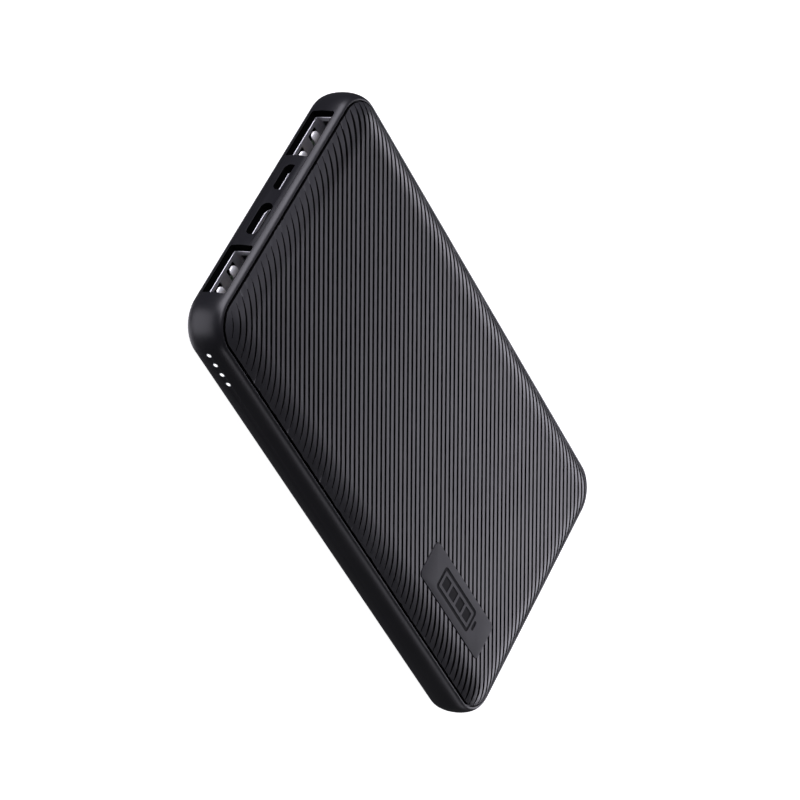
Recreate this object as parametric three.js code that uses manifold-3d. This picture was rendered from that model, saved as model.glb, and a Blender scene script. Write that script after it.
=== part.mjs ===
// Slim power bank: two pouch cells and a charging board between two ridged
// covers, clipped into one rounded frame that carries every socket.
// Units are millimetres. X is the width, Y the length with the sockets at -Y,
// and Z the thickness with the ridged front cover on top. The origin is the
// centre of the face that the power bank lies on.

import * as THREE from 'three';
import { mergeVertices } from 'three/addons/utils/BufferGeometryUtils.js';
import Module from 'manifold-3d';

const wasm = await Module();
wasm.setup();

// ---------------------------------------------------------------------------
// Driving dimensions
// ---------------------------------------------------------------------------

const THICKNESS = 13.3; // over the ridges of both covers
const CROWN = 2.15; // rise of a cover above its seam
const SEAM_Z = THICKNESS - CROWN; // height of the front cover's seam
const MID_Z = THICKNESS / 2;
const SEAM_HALF_X = 34.25; // seam outline, half width
const SEAM_HALF_Y = 66.25; // seam outline, half length
const SEAM_RADIUS = 6.7;
const SIDE_BULGE = 1.75; // the rounded side stands this far outside the seam
const CORNER_STEPS = 8; // straight steps in each rounded corner

const WALL = 2.4; // frame wall at its thickest
const LEDGE_Z = 10.3; // ledge that the front cover's skirt sits on
const SEAM_GAP = 0.2; // visible shadow gap around a cover
const FIT_GAP = 0.05; // air between parts that rest on each other
const SKIRT_WALL = 1.4; // cover thickness
const CEILING_Z = 11.9; // inner face of the front cover
const CROWN_WIDTH = 7.1; // width of the sloping border of a cover
const CROWN_POWER = 2.8;

const RIDGE_PITCH = 1.6; // across the ridges
const RIDGE_PHASE = -0.615; // distance of the first groove from the origin
const GROOVE_WIDTH = 0.5;
const GROOVE_DEPTH = 0.25;
const RIDGE_ANGLE = -Math.PI / 4; // turns the +Y direction to the ridges

const BADGE = { x: 21.65, y: 38.6, halfX: 4.75, halfY: 15.6, radius: 1.2 };
const BADGE_PROUD = 0.15;
const BADGE_FLOOR_Z = 12.7;
const LABEL = { halfX: 21, halfY: 33 }; // smooth field of the back cover

const RIM_Y = -66.1; // mouth of every socket's metal shell
const FACE_Y = -69; // just outside the socket wall
const BOARD = { bottom: 4.85, top: 5.85, halfX: 32.3, front: -65.4, back: -48.5 };
const USB_A_X = [-19.05, 19.68];
const USB_A_Z = 6.925;
const USB_A = { halfX: 6.55, halfZ: 2.85, wall: 0.3, length: 14, radius: 0.5 };
const USB_C = { x: 5.68, z: 7.425, halfX: 4.4, halfZ: 1.55, wall: 0.28, length: 7.3 };
const MICRO = { x: -6.2, z: 7.05, halfX: 3.575, halfZ: 1.175, wall: 0.25, length: 5.6 };

const BUTTON = { y: -55, halfY: 3.9, halfZ: 1.2, face: -35.9, clearance: 0.12 };
const INDICATOR_Y = [-59.3, -56.35, -53.4, -50.45];
const INDICATOR_RADIUS = 0.6;
const SCREW_X = [-28.6, 28.6];
const SCREW_Y = -62.3;

const CELL = { halfX: 30.6, front: -44, back: 62.5, thickness: 4.7, edge: 0.8, corner: 2.6 };
const CELL_BOTTOMS = { lower: 1.8, upper: 6.8 };
const TAB_X = { positive: -9, negative: 9 };
const CLIP_Y = [-35, 0, 40];

// ---------------------------------------------------------------------------
// Materials
// ---------------------------------------------------------------------------

function finish(color, roughness, metalness) {
  return new THREE.MeshStandardMaterial({ color, roughness, metalness });
}

const FINISH = {
  satinPlastic: finish(0x17181c, 0.38, 0),
  coverPlastic: finish(0x1d1e21, 0.45, 0),
  badge: finish(0x46484c, 0.35, 0),
  steel: finish(0xb9bbbf, 0.28, 1),
  gold: finish(0xd9b25a, 0.3, 1),
  socketPlastic: finish(0x0d0d0e, 0.5, 0),
  boardGreen: finish(0x12482c, 0.45, 0),
  chip: finish(0x1a1a1c, 0.55, 0),
  ceramic: finish(0xa88a62, 0.5, 0),
  ferrite: finish(0x3a3b3e, 0.6, 0),
  clear: finish(0xe9eef2, 0.15, 0),
  led: finish(0xf5f3df, 0.3, 0),
  pouch: finish(0xb4b8bd, 0.32, 0.8),
  nickel: finish(0xc9c7bf, 0.3, 1),
  foam: finish(0x2b2b2d, 0.95, 0),
  tape: finish(0xe8e6de, 0.7, 0),
  paper: finish(0x9ab59a, 0.8, 0),
  redLead: finish(0xb01c1c, 0.45, 0),
  blackLead: finish(0x141414, 0.45, 0),
};

// ---------------------------------------------------------------------------
// Solids and geometry
// ---------------------------------------------------------------------------

// A closed three.js geometry as a solid that can be joined and cut.
function solidOf(geometry) {
  const bare = geometry.clone();
  bare.deleteAttribute('normal');
  bare.deleteAttribute('uv');
  const merged = mergeVertices(bare, 1e-5);
  const vertProperties = Float32Array.from(merged.attributes.position.array);
  const triVerts = Uint32Array.from(merged.index.array);
  return new wasm.Manifold(new wasm.Mesh({ numProp: 3, vertProperties, triVerts }));
}

// A solid as a flat-shaded three.js geometry.
function geometryOf(solid) {
  const mesh = solid.getMesh();
  const points = new Float32Array(mesh.numVert * 3);
  for (let i = 0; i < mesh.numVert; i += 1) {
    points.set(mesh.vertProperties.subarray(i * mesh.numProp, i * mesh.numProp + 3), i * 3);
  }
  const geometry = new THREE.BufferGeometry();
  geometry.setAttribute('position', new THREE.BufferAttribute(points, 3));
  geometry.setIndex(new THREE.BufferAttribute(Uint32Array.from(mesh.triVerts), 1));
  geometry.computeVertexNormals();
  return geometry;
}

function joined(solids) {
  return solids.reduce((whole, solid) => whole.add(solid));
}

// A box between two corners.
function block([x0, y0, z0], [x1, y1, z1]) {
  const box = new THREE.BoxGeometry(x1 - x0, y1 - y0, z1 - z0);
  box.translate((x0 + x1) / 2, (y0 + y1) / 2, (z0 + z1) / 2);
  return solidOf(box);
}

// An upright round bar.
function upright(radius, x, y, z0, z1, sides = 20) {
  const bar = new THREE.CylinderGeometry(radius, radius, z1 - z0, sides);
  bar.rotateX(Math.PI / 2);
  bar.translate(x, y, (z0 + z1) / 2);
  return solidOf(bar);
}

// Points of a rounded rectangle, anticlockwise.
function roundedRectangle(halfU, halfV, radius, steps = 4) {
  const points = [];
  const corners = [[1, 1], [-1, 1], [-1, -1], [1, -1]];
  corners.forEach(([u, v], corner) => {
    for (let i = 0; i <= steps; i += 1) {
      const angle = (corner + i / steps) * (Math.PI / 2);
      const pu = u * (halfU - radius) + radius * Math.cos(angle);
      const pv = v * (halfV - radius) + radius * Math.sin(angle);
      points.push(new THREE.Vector2(pu, pv));
    }
  });
  return points;
}

// An outline extruded upwards, with optional holes.
function extruded(outline, depth, holes = []) {
  const shape = new THREE.Shape(outline);
  shape.holes = holes.map((hole) => new THREE.Path(hole));
  return new THREE.ExtrudeGeometry(shape, { depth, bevelEnabled: false });
}

function prismAlongZ(outline, z0, z1) {
  return solidOf(extruded(outline, z1 - z0).translate(0, 0, z0));
}

// An outline in (x, z), extruded along Y.
function prismAlongY(outline, y0, y1, holes = []) {
  const prism = extruded(outline, y1 - y0, holes);
  prism.rotateX(Math.PI / 2);
  prism.translate(0, y1, 0);
  return solidOf(prism);
}

// An outline in (y, z), extruded along X.
function prismAlongX(outline, x0, x1) {
  const turn = new THREE.Matrix4().set(0, 0, 1, 0, 1, 0, 0, 0, 0, 1, 0, 0, 0, 0, 0, 1);
  const prism = extruded(outline, x1 - x0);
  prism.applyMatrix4(turn);
  prism.translate(x0, 0, 0);
  return solidOf(prism);
}

function shifted(outline, du, dv) {
  return outline.map((point) => new THREE.Vector2(point.x + du, point.y + dv));
}

// The outline of a bent strip of sheet metal, from its middle line.
function bentStrip(line, thickness) {
  const middle = line.map(([u, v]) => new THREE.Vector2(u, v));
  const side = (sign) => middle.map((point, i) => {
    const before = middle[Math.max(i - 1, 0)];
    const after = middle[Math.min(i + 1, middle.length - 1)];
    const along = after.clone().sub(before).normalize();
    const across = new THREE.Vector2(-along.y, along.x);
    return point.clone().addScaledVector(across, (sign * thickness) / 2);
  });
  return [...side(-1), ...side(1).reverse()];
}

// A closed solid through a stack of level rings that have equally many points.
function loft(rings) {
  const count = rings[0].points.length;
  const positions = [];
  for (const ring of rings) {
    for (const point of ring.points) positions.push(point.x, point.y, ring.z);
  }
  const index = [];
  for (let level = 0; level + 1 < rings.length; level += 1) {
    for (let i = 0; i < count; i += 1) {
      const next = (i + 1) % count;
      const [a, b] = [level * count + i, level * count + next];
      index.push(a, b, b + count, a, b + count, a + count);
    }
  }
  const top = (rings.length - 1) * count;
  for (let i = 1; i + 1 < count; i += 1) {
    index.push(0, i + 1, i);
    index.push(top, top + i, top + i + 1);
  }
  const geometry = new THREE.BufferGeometry();
  geometry.setAttribute('position', new THREE.Float32BufferAttribute(positions, 3));
  geometry.setIndex(index);
  return solidOf(geometry);
}

// The seam outline at height z, moved outwards by `offset`.
function seamRing(z, offset) {
  const radius = Math.max(SEAM_RADIUS + offset, 0.4);
  const points = roundedRectangle(
    SEAM_HALF_X + offset, SEAM_HALF_Y + offset, radius, CORNER_STEPS,
  );
  return { z, points };
}

// ---------------------------------------------------------------------------
// The object
// ---------------------------------------------------------------------------

const powerBank = new THREE.Group();

function addPiece(name, solid, material, group = powerBank) {
  const mesh = new THREE.Mesh(geometryOf(solid), material);
  mesh.name = name;
  group.add(mesh);
  return mesh;
}

// A group whose pieces are drawn around a point of their own.
function groupAt(x, y, z) {
  const group = new THREE.Group();
  group.position.set(x, y, z);
  powerBank.add(group);
  return group;
}

// --- Outlines shared by the sockets and their openings in the frame ---------

function usbAOutline(grow = 0) {
  return roundedRectangle(USB_A.halfX + grow, USB_A.halfZ + grow, USB_A.radius + grow);
}

function usbCOutline(grow = 0) {
  return roundedRectangle(
    USB_C.halfX + grow, USB_C.halfZ + grow, USB_C.halfZ + grow - 0.01, 8,
  );
}

// Micro-USB: a flat oblong whose two lower corners are cut away.
function microOutline(grow = 0) {
  const x = MICRO.halfX + grow;
  const z = MICRO.halfZ + grow;
  const shoulder = -0.1;
  const footX = 2.75 + grow * 0.6;
  const outline = [[x, z], [-x, z], [-x, shoulder], [-footX, -z], [footX, -z], [x, shoulder]];
  return outline.map(([u, v]) => new THREE.Vector2(u, v));
}

// --- Frame ------------------------------------------------------------------

// An opening in the socket wall, with a wider seat behind it for the shell.
function socketOpening(outlineOf, x, z) {
  const seatY = RIM_Y - 0.1;
  const mouth = prismAlongY(shifted(outlineOf(0.025), x, z), FACE_Y, seatY + 0.01);
  const seat = prismAlongY(shifted(outlineOf(0.1), x, z), seatY, RIM_Y + 1.5);
  return mouth.add(seat);
}

function frameBlank() {
  const halfHeight = SEAM_Z - MID_Z;
  const levels = 12;
  const lipAngle = THREE.MathUtils.degToRad(86);
  const rings = [];
  for (let i = 0; i <= levels; i += 1) {
    const angle = lipAngle * ((2 * i) / levels - 1);
    rings.push(seamRing(MID_Z + halfHeight * Math.sin(angle), SIDE_BULGE * Math.cos(angle)));
  }
  const inner = SIDE_BULGE - WALL;
  const cavity = loft([seamRing(-1, inner), seamRing(THICKNESS + 1, inner)]);
  const frontSeat = loft([seamRing(LEDGE_Z, 0), seamRing(THICKNESS + 1, 0)]);
  const backSeat = loft([seamRing(-1, 0), seamRing(THICKNESS - LEDGE_Z, 0)]);
  return loft(rings).subtract(cavity).subtract(frontSeat).subtract(backSeat);
}

// Pockets inside the long walls that the covers' clips snap into.
function clipPockets() {
  const pockets = [];
  for (const side of [-1, 1]) {
    for (const y of CLIP_Y) {
      for (const z of [8.8, THICKNESS - 9.75]) {
        const [near, far] = [33.4, 34.0].map((x) => x * side).sort((a, b) => a - b);
        pockets.push(block([near, y - 3.3, z], [far, y + 3.3, z + 0.95]));
      }
    }
  }
  return joined(pockets);
}

function buttonOutline(grow) {
  const outline = roundedRectangle(
    BUTTON.halfY + grow, BUTTON.halfZ + grow, BUTTON.halfZ + grow - 0.01, 8,
  );
  return shifted(outline, BUTTON.y, MID_Z);
}

function makeFrame() {
  const openings = USB_A_X.map((x) => socketOpening(usbAOutline, x, USB_A_Z));
  openings.push(socketOpening(usbCOutline, USB_C.x, USB_C.z));
  openings.push(socketOpening(microOutline, MICRO.x, MICRO.z));
  openings.push(prismAlongX(buttonOutline(BUTTON.clearance), -37, -33));
  for (const y of INDICATOR_Y) {
    const hole = roundedRectangle(INDICATOR_RADIUS + 0.06, INDICATOR_RADIUS + 0.06,
      INDICATOR_RADIUS + 0.05);
    openings.push(prismAlongX(shifted(hole, y, MID_Z), 33, 37));
  }
  openings.push(clipPockets());
  addPiece('mid_frame', frameBlank().subtract(joined(openings)), FINISH.satinPlastic);
}

// --- Covers -----------------------------------------------------------------

// Height of a cover's outer face at distance d inside the seam outline.
function crownHeight(d) {
  return SEAM_Z + CROWN * (1 - (1 - d / CROWN_WIDTH) ** CROWN_POWER);
}

// A cover in the front cover's place: crowned outside, hollow inside.
function coverBlank() {
  const rings = [seamRing(LEDGE_Z + FIT_GAP, -SEAM_GAP)];
  for (const d of [SEAM_GAP, 0.6, 1.2, 2, 3, 4.4, CROWN_WIDTH]) {
    rings.push(seamRing(crownHeight(d), -d));
  }
  const skirt = SEAM_GAP + SKIRT_WALL;
  const hollow = loft([
    seamRing(LEDGE_Z - 1, -skirt), seamRing(SEAM_Z - 0.15, -skirt), seamRing(CEILING_Z, -4.2),
  ]);
  return loft(rings).subtract(hollow);
}

// A comb that cuts one straight V groove for each ridge of a cover.
function grooveComb() {
  const reach = 72;
  const rest = 0.02;
  const first = Math.ceil((-reach - RIDGE_PHASE) / RIDGE_PITCH);
  const last = Math.floor((reach - RIDGE_PHASE) / RIDGE_PITCH);
  const outline = [[-reach - 2, rest]];
  for (let k = first; k <= last; k += 1) {
    const u = RIDGE_PHASE + k * RIDGE_PITCH;
    outline.push([u - GROOVE_WIDTH / 2, rest], [u, -GROOVE_DEPTH], [u + GROOVE_WIDTH / 2, rest]);
  }
  outline.push([reach + 2, rest], [reach + 2, 1], [-reach - 2, 1]);
  const points = outline.map(([u, v]) => new THREE.Vector2(u, THICKNESS + v));
  const geometry = extruded(points, 2 * reach);
  geometry.rotateX(Math.PI / 2);
  geometry.translate(0, reach, 0);
  geometry.rotateZ(RIDGE_ANGLE);
  return solidOf(geometry);
}

// Snap clips that hang from a cover's skirt along both long sides.
function coverClips() {
  const profile = [[32.7, 10.6], [32.7, 8.9], [33.25, 8.9], [33.8, 9.5], [33.4, 9.6], [33.4, 10.6]];
  const clips = [];
  for (const side of [-1, 1]) {
    const outline = profile.map(([x, z]) => new THREE.Vector2(x * side, z));
    if (side > 0) outline.reverse();
    for (const y of CLIP_Y) clips.push(prismAlongY(outline, y - 3, y + 3));
  }
  return joined(clips);
}

function makeFrontCover() {
  const recess = roundedRectangle(BADGE.halfX + 0.1, BADGE.halfY + 0.1, BADGE.radius + 0.1);
  const pocket = prismAlongZ(shifted(recess, BADGE.x, BADGE.y), BADGE_FLOOR_Z, THICKNESS + 1);
  const cover = coverBlank().subtract(grooveComb()).subtract(pocket).add(coverClips());
  addPiece('front_cover', cover, FINISH.coverPlastic);
}

function makeBadge() {
  const outline = roundedRectangle(BADGE.halfX, BADGE.halfY, BADGE.radius);
  const plate = prismAlongZ(outline, 0, THICKNESS + BADGE_PROUD - BADGE_FLOOR_Z - FIT_GAP);
  const group = groupAt(BADGE.x, BADGE.y, BADGE_FLOOR_Z + FIT_GAP);
  addPiece('badge_plate', plate, FINISH.badge, group);
}

// The back cover is drawn like the front cover, then turned over.
function makeBackCover() {
  const label = block(
    [-LABEL.halfX, -LABEL.halfY, SEAM_Z], [LABEL.halfX, LABEL.halfY, THICKNESS + 2],
  );
  const bossEnd = THICKNESS - BOARD.bottom + FIT_GAP;
  const bosses = joined(SCREW_X.map((x) => upright(2.1, x, SCREW_Y, bossEnd, CEILING_Z + 0.3)));
  const bores = joined(SCREW_X.map((x) => upright(1, x, SCREW_Y, bossEnd - 1, CEILING_Z - 0.5)));
  const comb = grooveComb().subtract(label);
  const cover = coverBlank().subtract(comb).add(coverClips()).add(bosses).subtract(bores);
  const mesh = addPiece('back_cover', cover, FINISH.coverPlastic);
  mesh.rotation.y = Math.PI;
  mesh.position.z = THICKNESS;
}

// --- USB-A sockets, each drawn around the centre of its mouth ---------------

// A window in the shell's wall with a sprung tab in it; side is -1 or +1 in z.
function usbASpring(shell, x, y, side) {
  const wallZ = side * (USB_A.halfZ - USB_A.wall / 2);
  const window = block([x - 1.4, y, wallZ - 0.3], [x + 1.4, y + 6.2, wallZ + 0.3]);
  const line = [[6.4, 0], [4.2, 0.12], [2.2, 0.36], [1.4, 0.42], [0.75, 0.3], [0.35, 0.04]];
  const middle = line.map(([along, lift]) => [y + along, wallZ - side * lift]);
  const outline = bentStrip(middle, 0.24);
  const tab = prismAlongX(THREE.ShapeUtils.isClockWise(outline) ? outline.reverse() : outline,
    x - 1, x + 1);
  return shell.subtract(window).add(tab);
}

function usbAShell() {
  const wall = USB_A.wall;
  let shell = prismAlongY(usbAOutline(), 0, USB_A.length, [usbAOutline(-wall)]);
  for (const x of [-2.95, 2.95]) {
    shell = usbASpring(shell, x, 0.9, -1);
    shell = usbASpring(shell, x, 3.2, 1);
  }
  return shell;
}

const USB_A_PINS = [-3.5, -1, 1, 3.5];
const TONGUE_FRONT = 2.8;

function usbAInsulator() {
  const tongue = block([-5.55, TONGUE_FRONT, 0], [5.55, 11.2, 1.83]);
  const body = block([-6.2, 10.9, -2.5], [6.2, 13.8, 2.5]);
  const slots = USB_A_PINS.map((x) => block([x - 0.65, 10, -0.6], [x + 0.65, 15, -0.001]));
  return tongue.add(body).subtract(joined(slots));
}

// One contact: a strip under the tongue whose tail stands on the board.
function usbAContact() {
  const footZ = BOARD.top - USB_A_Z + FIT_GAP + 0.15;
  const line = [
    [3.4, -0.25], [4.2, -0.25], [5, -0.45], [5.8, -0.25], [14.5, -0.25], [14.9, footZ],
    [16.2, footZ],
  ];
  return prismAlongX(bentStrip(line, 0.3), -0.5, 0.5);
}

function makeUsbA(number) {
  const group = groupAt(USB_A_X[number - 1], RIM_Y, USB_A_Z);
  addPiece(`usb_a_${number}_shell`, usbAShell(), FINISH.steel, group);
  addPiece(`usb_a_${number}_insulator`, usbAInsulator(), FINISH.socketPlastic, group);
  USB_A_PINS.forEach((x, i) => {
    const name = `usb_a_${number}_contact_${i + 1}`;
    addPiece(name, usbAContact(), FINISH.gold, group).position.x = x;
  });
}

// --- Small sockets ----------------------------------------------------------

function makeUsbC() {
  const group = groupAt(USB_C.x, RIM_Y, USB_C.z);
  const shell = prismAlongY(usbCOutline(), 0, USB_C.length, [usbCOutline(-USB_C.wall)]);
  const plug = usbCOutline(-USB_C.wall - 0.05);
  const tongue = block([-3.35, 0.8, -0.35], [3.35, 6, 0.35]);
  const insulator = tongue.add(prismAlongY(plug, 5.6, USB_C.length - 0.2));
  addPiece('usb_c_shell', shell, FINISH.steel, group);
  addPiece('usb_c_tongue', insulator, FINISH.socketPlastic, group);
}

function makeMicroUsb() {
  const group = groupAt(MICRO.x, RIM_Y, MICRO.z);
  const shell = prismAlongY(microOutline(), 0, MICRO.length, [microOutline(-MICRO.wall)]);
  const plug = microOutline(-MICRO.wall - 0.05);
  const tongue = block([-1.95, 0.7, 0], [1.95, 4.6, 0.6]);
  const insulator = tongue.add(prismAlongY(plug, 4.3, MICRO.length - 0.2));
  addPiece('micro_usb_shell', shell, FINISH.steel, group);
  addPiece('micro_usb_tongue', insulator, FINISH.socketPlastic, group);
}

// --- Board and what is soldered to it ---------------------------------------

function makeBoard() {
  const inside = SIDE_BULGE - WALL - 0.3;
  let board = block(
    [-BOARD.halfX, BOARD.front, BOARD.bottom], [BOARD.halfX, BOARD.back, BOARD.top],
  );
  board = board.intersect(loft([seamRing(0, inside), seamRing(THICKNESS, inside)]));
  const notchX = USB_A.halfX + 0.2;
  for (const x of USB_A_X) {
    const notchEnd = RIM_Y + USB_A.length + 0.2;
    board = board.subtract(block([x - notchX, FACE_Y, 0], [x + notchX, notchEnd, THICKNESS]));
  }
  for (const x of SCREW_X) {
    board = board.subtract(upright(1.15, x, SCREW_Y, 0, THICKNESS));
  }
  addPiece('circuit_board', board, FINISH.boardGreen);
}

// A pan-head screw with a cross recess, drawn around the underside of its head.
function boardScrew() {
  const head = upright(1.7, 0, 0, 0, 0.8, 24);
  const shank = upright(0.92, 0, 0, -3, 0.1, 16);
  const arm = block([-0.9, -0.18, 0.4], [0.9, 0.18, 1]);
  const crossArm = block([-0.18, -0.9, 0.4], [0.18, 0.9, 1]);
  return head.add(shank).subtract(arm).subtract(crossArm);
}

function makeScrews() {
  SCREW_X.forEach((x, i) => {
    const group = groupAt(x, SCREW_Y, BOARD.top + FIT_GAP);
    addPiece(`board_screw_${i + 1}`, boardScrew(), FINISH.steel, group);
  });
}

// A chip, coil or capacitor body that stands on the board, with its top edges
// drawn in a little.
function makeComponent(name, x, y, sizeX, sizeY, height, material) {
  const taper = 0.12;
  const outline = (inset) => roundedRectangle(sizeX / 2 - inset, sizeY / 2 - inset, 0.2, 2);
  const body = loft([
    { z: 0, points: outline(0) },
    { z: height - taper, points: outline(0) },
    { z: height, points: outline(taper) },
  ]);
  addPiece(name, body, material, groupAt(x, y, BOARD.top + FIT_GAP));
}

function makeComponents() {
  makeComponent('power_inductor', 0.3, -54.7, 7, 7, 3.2, FINISH.ferrite);
  makeComponent('charge_controller', -8.2, -55.2, 5, 5, 0.9, FINISH.chip);
  makeComponent('output_converter', 8.8, -54.8, 4.4, 4.4, 0.9, FINISH.chip);
  makeComponent('protection_chip', -28.4, -49.9, 3, 2.2, 1.1, FINISH.chip);
  makeComponent('capacitor_1', -2.2, -49.9, 3, 2, 1.6, FINISH.ceramic);
  makeComponent('capacitor_2', 2.2, -49.9, 3, 2, 1.6, FINISH.ceramic);
  makeComponent('capacitor_3', 28.3, -55.5, 1.8, 3, 1.6, FINISH.ceramic);
  makeComponent('capacitor_4', 28.3, -51.5, 1.8, 3, 1.6, FINISH.ceramic);
  makeComponent('thermistor', 13.9, -49.4, 1.6, 0.9, 0.8, FINISH.ceramic);
}

// --- Charge indicator -------------------------------------------------------

// One clear bar with a round peg for each dot in the side wall.
function makeLightGuide() {
  const [first, last] = [INDICATOR_Y[0] - 1.3, INDICATOR_Y[3] + 1.3];
  const peg = roundedRectangle(INDICATOR_RADIUS, INDICATOR_RADIUS, INDICATOR_RADIUS - 0.01);
  const pegs = INDICATOR_Y.map((y) => prismAlongX(shifted(peg, y, MID_Z), 33, 35.93));
  const bar = block([31.9, first, BOARD.top + 0.1], [33.3, last, MID_Z + 0.7]);
  addPiece('light_guide', bar.add(joined(pegs)), FINISH.clear);
}

function makeIndicatorLeds() {
  INDICATOR_Y.forEach((y, i) => {
    makeComponent(`indicator_led_${i + 1}`, 31.2, y, 0.9, 1.6, 1.1, FINISH.led);
  });
}

// --- Power button and its switch --------------------------------------------

function makeButton() {
  const flangeOutline = shifted(roundedRectangle(4.7, 1.9, 0.6), BUTTON.y, MID_Z);
  const cap = prismAlongX(buttonOutline(0), BUTTON.face, -33.2);
  const flange = prismAlongX(flangeOutline, -33.55, -33.05);
  addPiece('power_button', cap.add(flange), FINISH.satinPlastic);
}

// A side-push switch: the plunger slides in a slot of the housing.
function makeSwitch() {
  const housing = block([-32.4, -57.4, BOARD.top + FIT_GAP], [-29.2, -52.6, 7.4]);
  const slot = block([-33, -55.95, 6.1], [-30.4, -54.05, 7.2]);
  const plunger = block([-33, -55.8, 6.2], [-31.2, -54.2, 7.1]);
  addPiece('switch_housing', housing.subtract(slot), FINISH.chip);
  addPiece('switch_plunger', plunger, FINISH.tape);
}

// --- Battery ----------------------------------------------------------------

// A pouch cell with soft edges all round.
function makeCell(name, bottom) {
  const halfY = (CELL.back - CELL.front) / 2;
  const ring = (z, inset) => ({
    z, points: roundedRectangle(CELL.halfX - inset, halfY - inset, CELL.corner - inset),
  });
  const { edge, thickness } = CELL;
  const pouch = loft([
    ring(0, edge), ring(edge * 0.35, edge * 0.3), ring(edge, 0), ring(thickness - edge, 0),
    ring(thickness - edge * 0.35, edge * 0.3), ring(thickness, edge),
  ]);
  addPiece(name, pouch, FINISH.pouch, groupAt(0, (CELL.back + CELL.front) / 2, bottom));
}

// A flat tab that leaves the middle of a cell's end and bends to the joint
// between the two cells.
function makeTab(name, x, cellMiddle, jointZ) {
  const toJoint = Math.sign(jointZ - cellMiddle) * 0.4;
  const line = [
    [-44.1, cellMiddle], [-45, cellMiddle], [-45.4, cellMiddle + toJoint],
    [-45.4, jointZ - toJoint], [-45.8, jointZ], [-47.4, jointZ],
  ];
  const outline = bentStrip(line, 0.15);
  if (THREE.ShapeUtils.isClockWise(outline)) outline.reverse();
  addPiece(name, prismAlongX(outline, -3, 3), FINISH.nickel, groupAt(x, 0, 0));
}

// A round insulated wire from a tab joint down to its pad on the board.
function makeLead(name, x, material) {
  const route = [[-45.9, 7.62], [-46.9, 7.66], [-48.1, 7.5], [-49.3, 6.9], [-50.6, 6.6]];
  const path = new THREE.CatmullRomCurve3(route.map(([y, z]) => new THREE.Vector3(0, y, z)));
  const section = new THREE.Shape(roundedRectangle(0.6, 0.6, 0.59, 2));
  const wire = new THREE.ExtrudeGeometry(section, { steps: 12, extrudePath: path });
  addPiece(name, solidOf(wire), material, groupAt(x, 0, 0));
}

function makeBattery() {
  makeCell('cell_lower', CELL_BOTTOMS.lower);
  makeCell('cell_upper', CELL_BOTTOMS.upper);
  for (const [pole, x] of Object.entries(TAB_X)) {
    makeTab(`cell_lower_${pole}_tab`, x, CELL_BOTTOMS.lower + CELL.thickness / 2, 6.5);
    makeTab(`cell_upper_${pole}_tab`, x, CELL_BOTTOMS.upper + CELL.thickness / 2, 6.8);
  }
  makeLead('positive_lead', TAB_X.positive, FINISH.redLead);
  makeLead('negative_lead', TAB_X.negative, FINISH.blackLead);
}

// --- Tape, foam and insulation ----------------------------------------------

function makeSheet(name, halfX, y0, y1, z0, z1, material) {
  const outline = roundedRectangle(halfX, (y1 - y0) / 2, 1.5, 2);
  addPiece(name, prismAlongZ(outline, z0, z1), material, groupAt(0, (y0 + y1) / 2, 0));
}

function makeSheets() {
  const lowerTop = CELL_BOTTOMS.lower + CELL.thickness;
  const upperTop = CELL_BOTTOMS.upper + CELL.thickness;
  const gap = FIT_GAP;
  makeSheet('cell_tape', 24, -34, 54, lowerTop + gap, CELL_BOTTOMS.upper - gap, FINISH.tape);
  makeSheet('foam_pad_front', 25, -35, 55, upperTop + gap, CEILING_Z - gap, FINISH.foam);
  makeSheet('foam_pad_back', 25, -35, 55, THICKNESS - CEILING_Z + gap,
    CELL_BOTTOMS.lower - gap, FINISH.foam);
  makeSheet('insulation_sheet', 25, -61, -45, THICKNESS - CEILING_Z + gap, 1.65, FINISH.paper);
}

makeFrame();
makeFrontCover();
makeBackCover();
makeBadge();
makeUsbA(1);
makeUsbA(2);
makeUsbC();
makeMicroUsb();
makeBoard();
makeScrews();
makeComponents();
makeLightGuide();
makeIndicatorLeds();
makeButton();
makeSwitch();
makeBattery();
makeSheets();

export default powerBank;
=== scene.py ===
# %% [markdown]
# # A slim ridged power bank
# The object is a pocket battery: a rounded frame, a crowned cover with fine
# diagonal ridges let into each face, four sockets in one end and four charge
# lights in one long side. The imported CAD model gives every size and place.
# This notebook adds the fine surface: new meshes for what the eye sees, and
# procedural finishes for all the rest.

import math

import bmesh
import bpy
import numpy as np
from mathutils import Matrix, Vector


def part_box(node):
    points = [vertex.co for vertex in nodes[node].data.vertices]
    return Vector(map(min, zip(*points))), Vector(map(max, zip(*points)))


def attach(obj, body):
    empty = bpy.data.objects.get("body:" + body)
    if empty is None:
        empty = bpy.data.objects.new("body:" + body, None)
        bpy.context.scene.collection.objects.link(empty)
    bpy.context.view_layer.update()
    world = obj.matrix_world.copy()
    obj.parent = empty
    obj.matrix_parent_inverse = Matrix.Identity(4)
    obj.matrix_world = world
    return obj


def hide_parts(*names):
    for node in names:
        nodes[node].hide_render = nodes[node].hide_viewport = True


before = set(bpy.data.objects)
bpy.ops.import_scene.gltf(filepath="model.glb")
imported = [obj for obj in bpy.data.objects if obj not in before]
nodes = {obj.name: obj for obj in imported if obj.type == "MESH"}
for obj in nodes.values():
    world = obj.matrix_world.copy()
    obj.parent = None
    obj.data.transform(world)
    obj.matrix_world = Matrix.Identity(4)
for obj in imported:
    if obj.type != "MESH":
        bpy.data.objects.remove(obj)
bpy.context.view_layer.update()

# %% [markdown]
# Blender works in metres. The sizes of this object are easier to read in
# millimetres, so every length below is written as a number times MM. The
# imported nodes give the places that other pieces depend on.

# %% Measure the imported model
MM = 0.001

frame_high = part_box("mid_frame")[1]
BOTTOM_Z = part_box("back_cover")[0].z
TOP_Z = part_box("front_cover")[1].z
MID_Z = (BOTTOM_Z + TOP_Z) / 2
HALF_X = frame_high.x
HALF_Y = frame_high.y

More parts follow.
